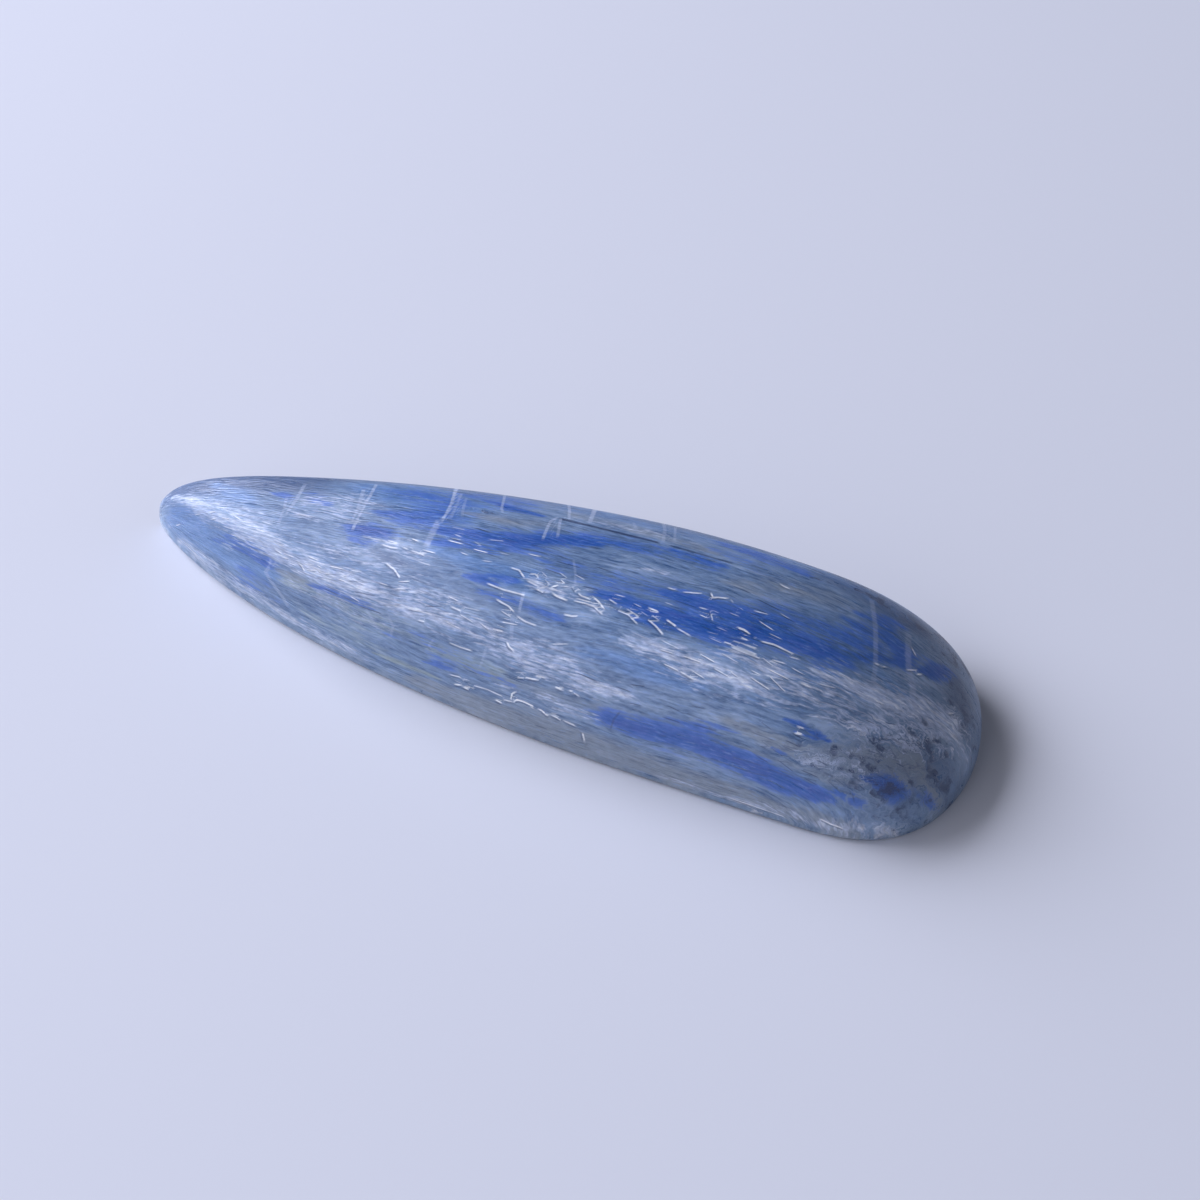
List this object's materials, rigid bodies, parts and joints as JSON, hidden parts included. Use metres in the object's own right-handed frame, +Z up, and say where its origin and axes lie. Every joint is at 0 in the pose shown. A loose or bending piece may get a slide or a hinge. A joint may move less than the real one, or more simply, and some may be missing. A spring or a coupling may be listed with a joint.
{
  "type": "kyanite cabochon",
  "caption": "Long teardrop of polished blue kyanite, domed on top and flat on its back, to lie loose or be set as a pendant stone.",
  "frame": {"origin": "middle of the stone's bounding box, on the plane of its flat back", "axes": "+X from the point to the round end, +Y across the width, +Z up out of the domed top"},
  "size_m": [0.052, 0.0152, 0.0086],
  "materials": {
    "polished_kyanite": "pearly polish, steel blue with royal blue blades and pale fibrous veils"
  },
  "bodies": {
    "root": {"kyanite_cabochon": "polished_kyanite"}
  },
  "joints": []
}
